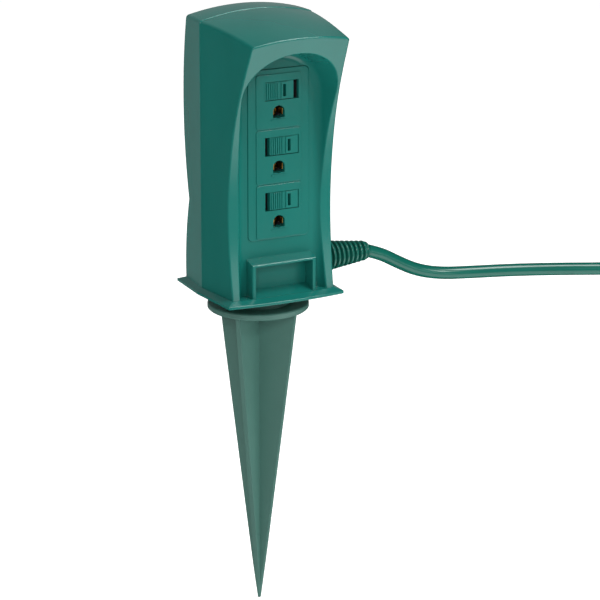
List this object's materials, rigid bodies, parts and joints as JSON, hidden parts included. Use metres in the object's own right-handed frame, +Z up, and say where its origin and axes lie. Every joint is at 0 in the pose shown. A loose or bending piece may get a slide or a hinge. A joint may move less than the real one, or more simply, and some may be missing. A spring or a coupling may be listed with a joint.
{
  "type": "outdoor power stake",
  "caption": "Hooded outdoor outlet tower on a twist-on ground spike, with shuttered grounded sockets and a tied mains lead with its plug.",
  "frame": {"origin": "on the spike's axis at the ground line, the underside of the collar disc", "axes": "+Z up along the spike, -Y the way the outlets face, +X the side the cord leaves"},
  "size_m": [0.4382, 0.1112, 0.3509],
  "materials": {
    "housing_green": "fine moulded texture, satin",
    "stake_green": "duller moulded plastic, satin",
    "shutter_green": "moulded, satin",
    "relief_green": "moulded flexible vinyl",
    "cord_green": "smooth vinyl jacket",
    "plug_green": "moulded vinyl",
    "tie_black": "ribbed twist tie",
    "brass": "stamped",
    "insulator_black": "moulded",
    "screw_steel": "zinc plated",
    "wire_black": "smooth",
    "wire_white": "smooth",
    "wire_green": "smooth"
  },
  "bodies": {
    "housing": {"front_shell": "housing_green", "rear_shell": "housing_green", "outlet_panel": "housing_green", "contact_carrier": "insulator_black", "carrier_cover": "insulator_black", "carrier_screws": "screw_steel", "hot_bus_bar": "brass", "neutral_bus_bar": "brass", "ground_bus_bar": "brass", "hot_wire": "wire_black", "neutral_wire": "wire_white", "ground_wire": "wire_green", "cord_lead_in": "cord_green", "cord_clamp": "insulator_black", "clamp_screws": "screw_steel", "housing_screws": "screw_steel", "strain_relief": "relief_green", "cord": "cord_green", "cord_coil": "cord_green", "cord_tie": "tie_black", "plug_body": "plug_green", "plug_blades": "brass", "plug_ground_pin": "brass"},
    "shutter_top": {"shutter_top": "shutter_green"},
    "shutter_middle": {"shutter_middle": "shutter_green"},
    "shutter_bottom": {"shutter_bottom": "shutter_green"},
    "stake": {"stake": "stake_green"}
  },
  "joints": [
    {"name": "shutter_top_slide", "type": "slide", "parent": "housing", "child": "shutter_top", "axis": [1, 0, 0], "range_m": [0, 0.0028]},
    {"name": "shutter_middle_slide", "type": "slide", "parent": "housing", "child": "shutter_middle", "axis": [1, 0, 0], "range_m": [-0.0028, 0]},
    {"name": "shutter_bottom_slide", "type": "slide", "parent": "housing", "child": "shutter_bottom", "axis": [1, 0, 0], "range_m": [-0.0028, 0]},
    {"name": "stake_twist", "type": "hinge", "parent": "housing", "child": "stake", "pos_m": [0, 0, 0], "axis": [0, 0, 1], "range_deg": [0, 45]}
  ]
}
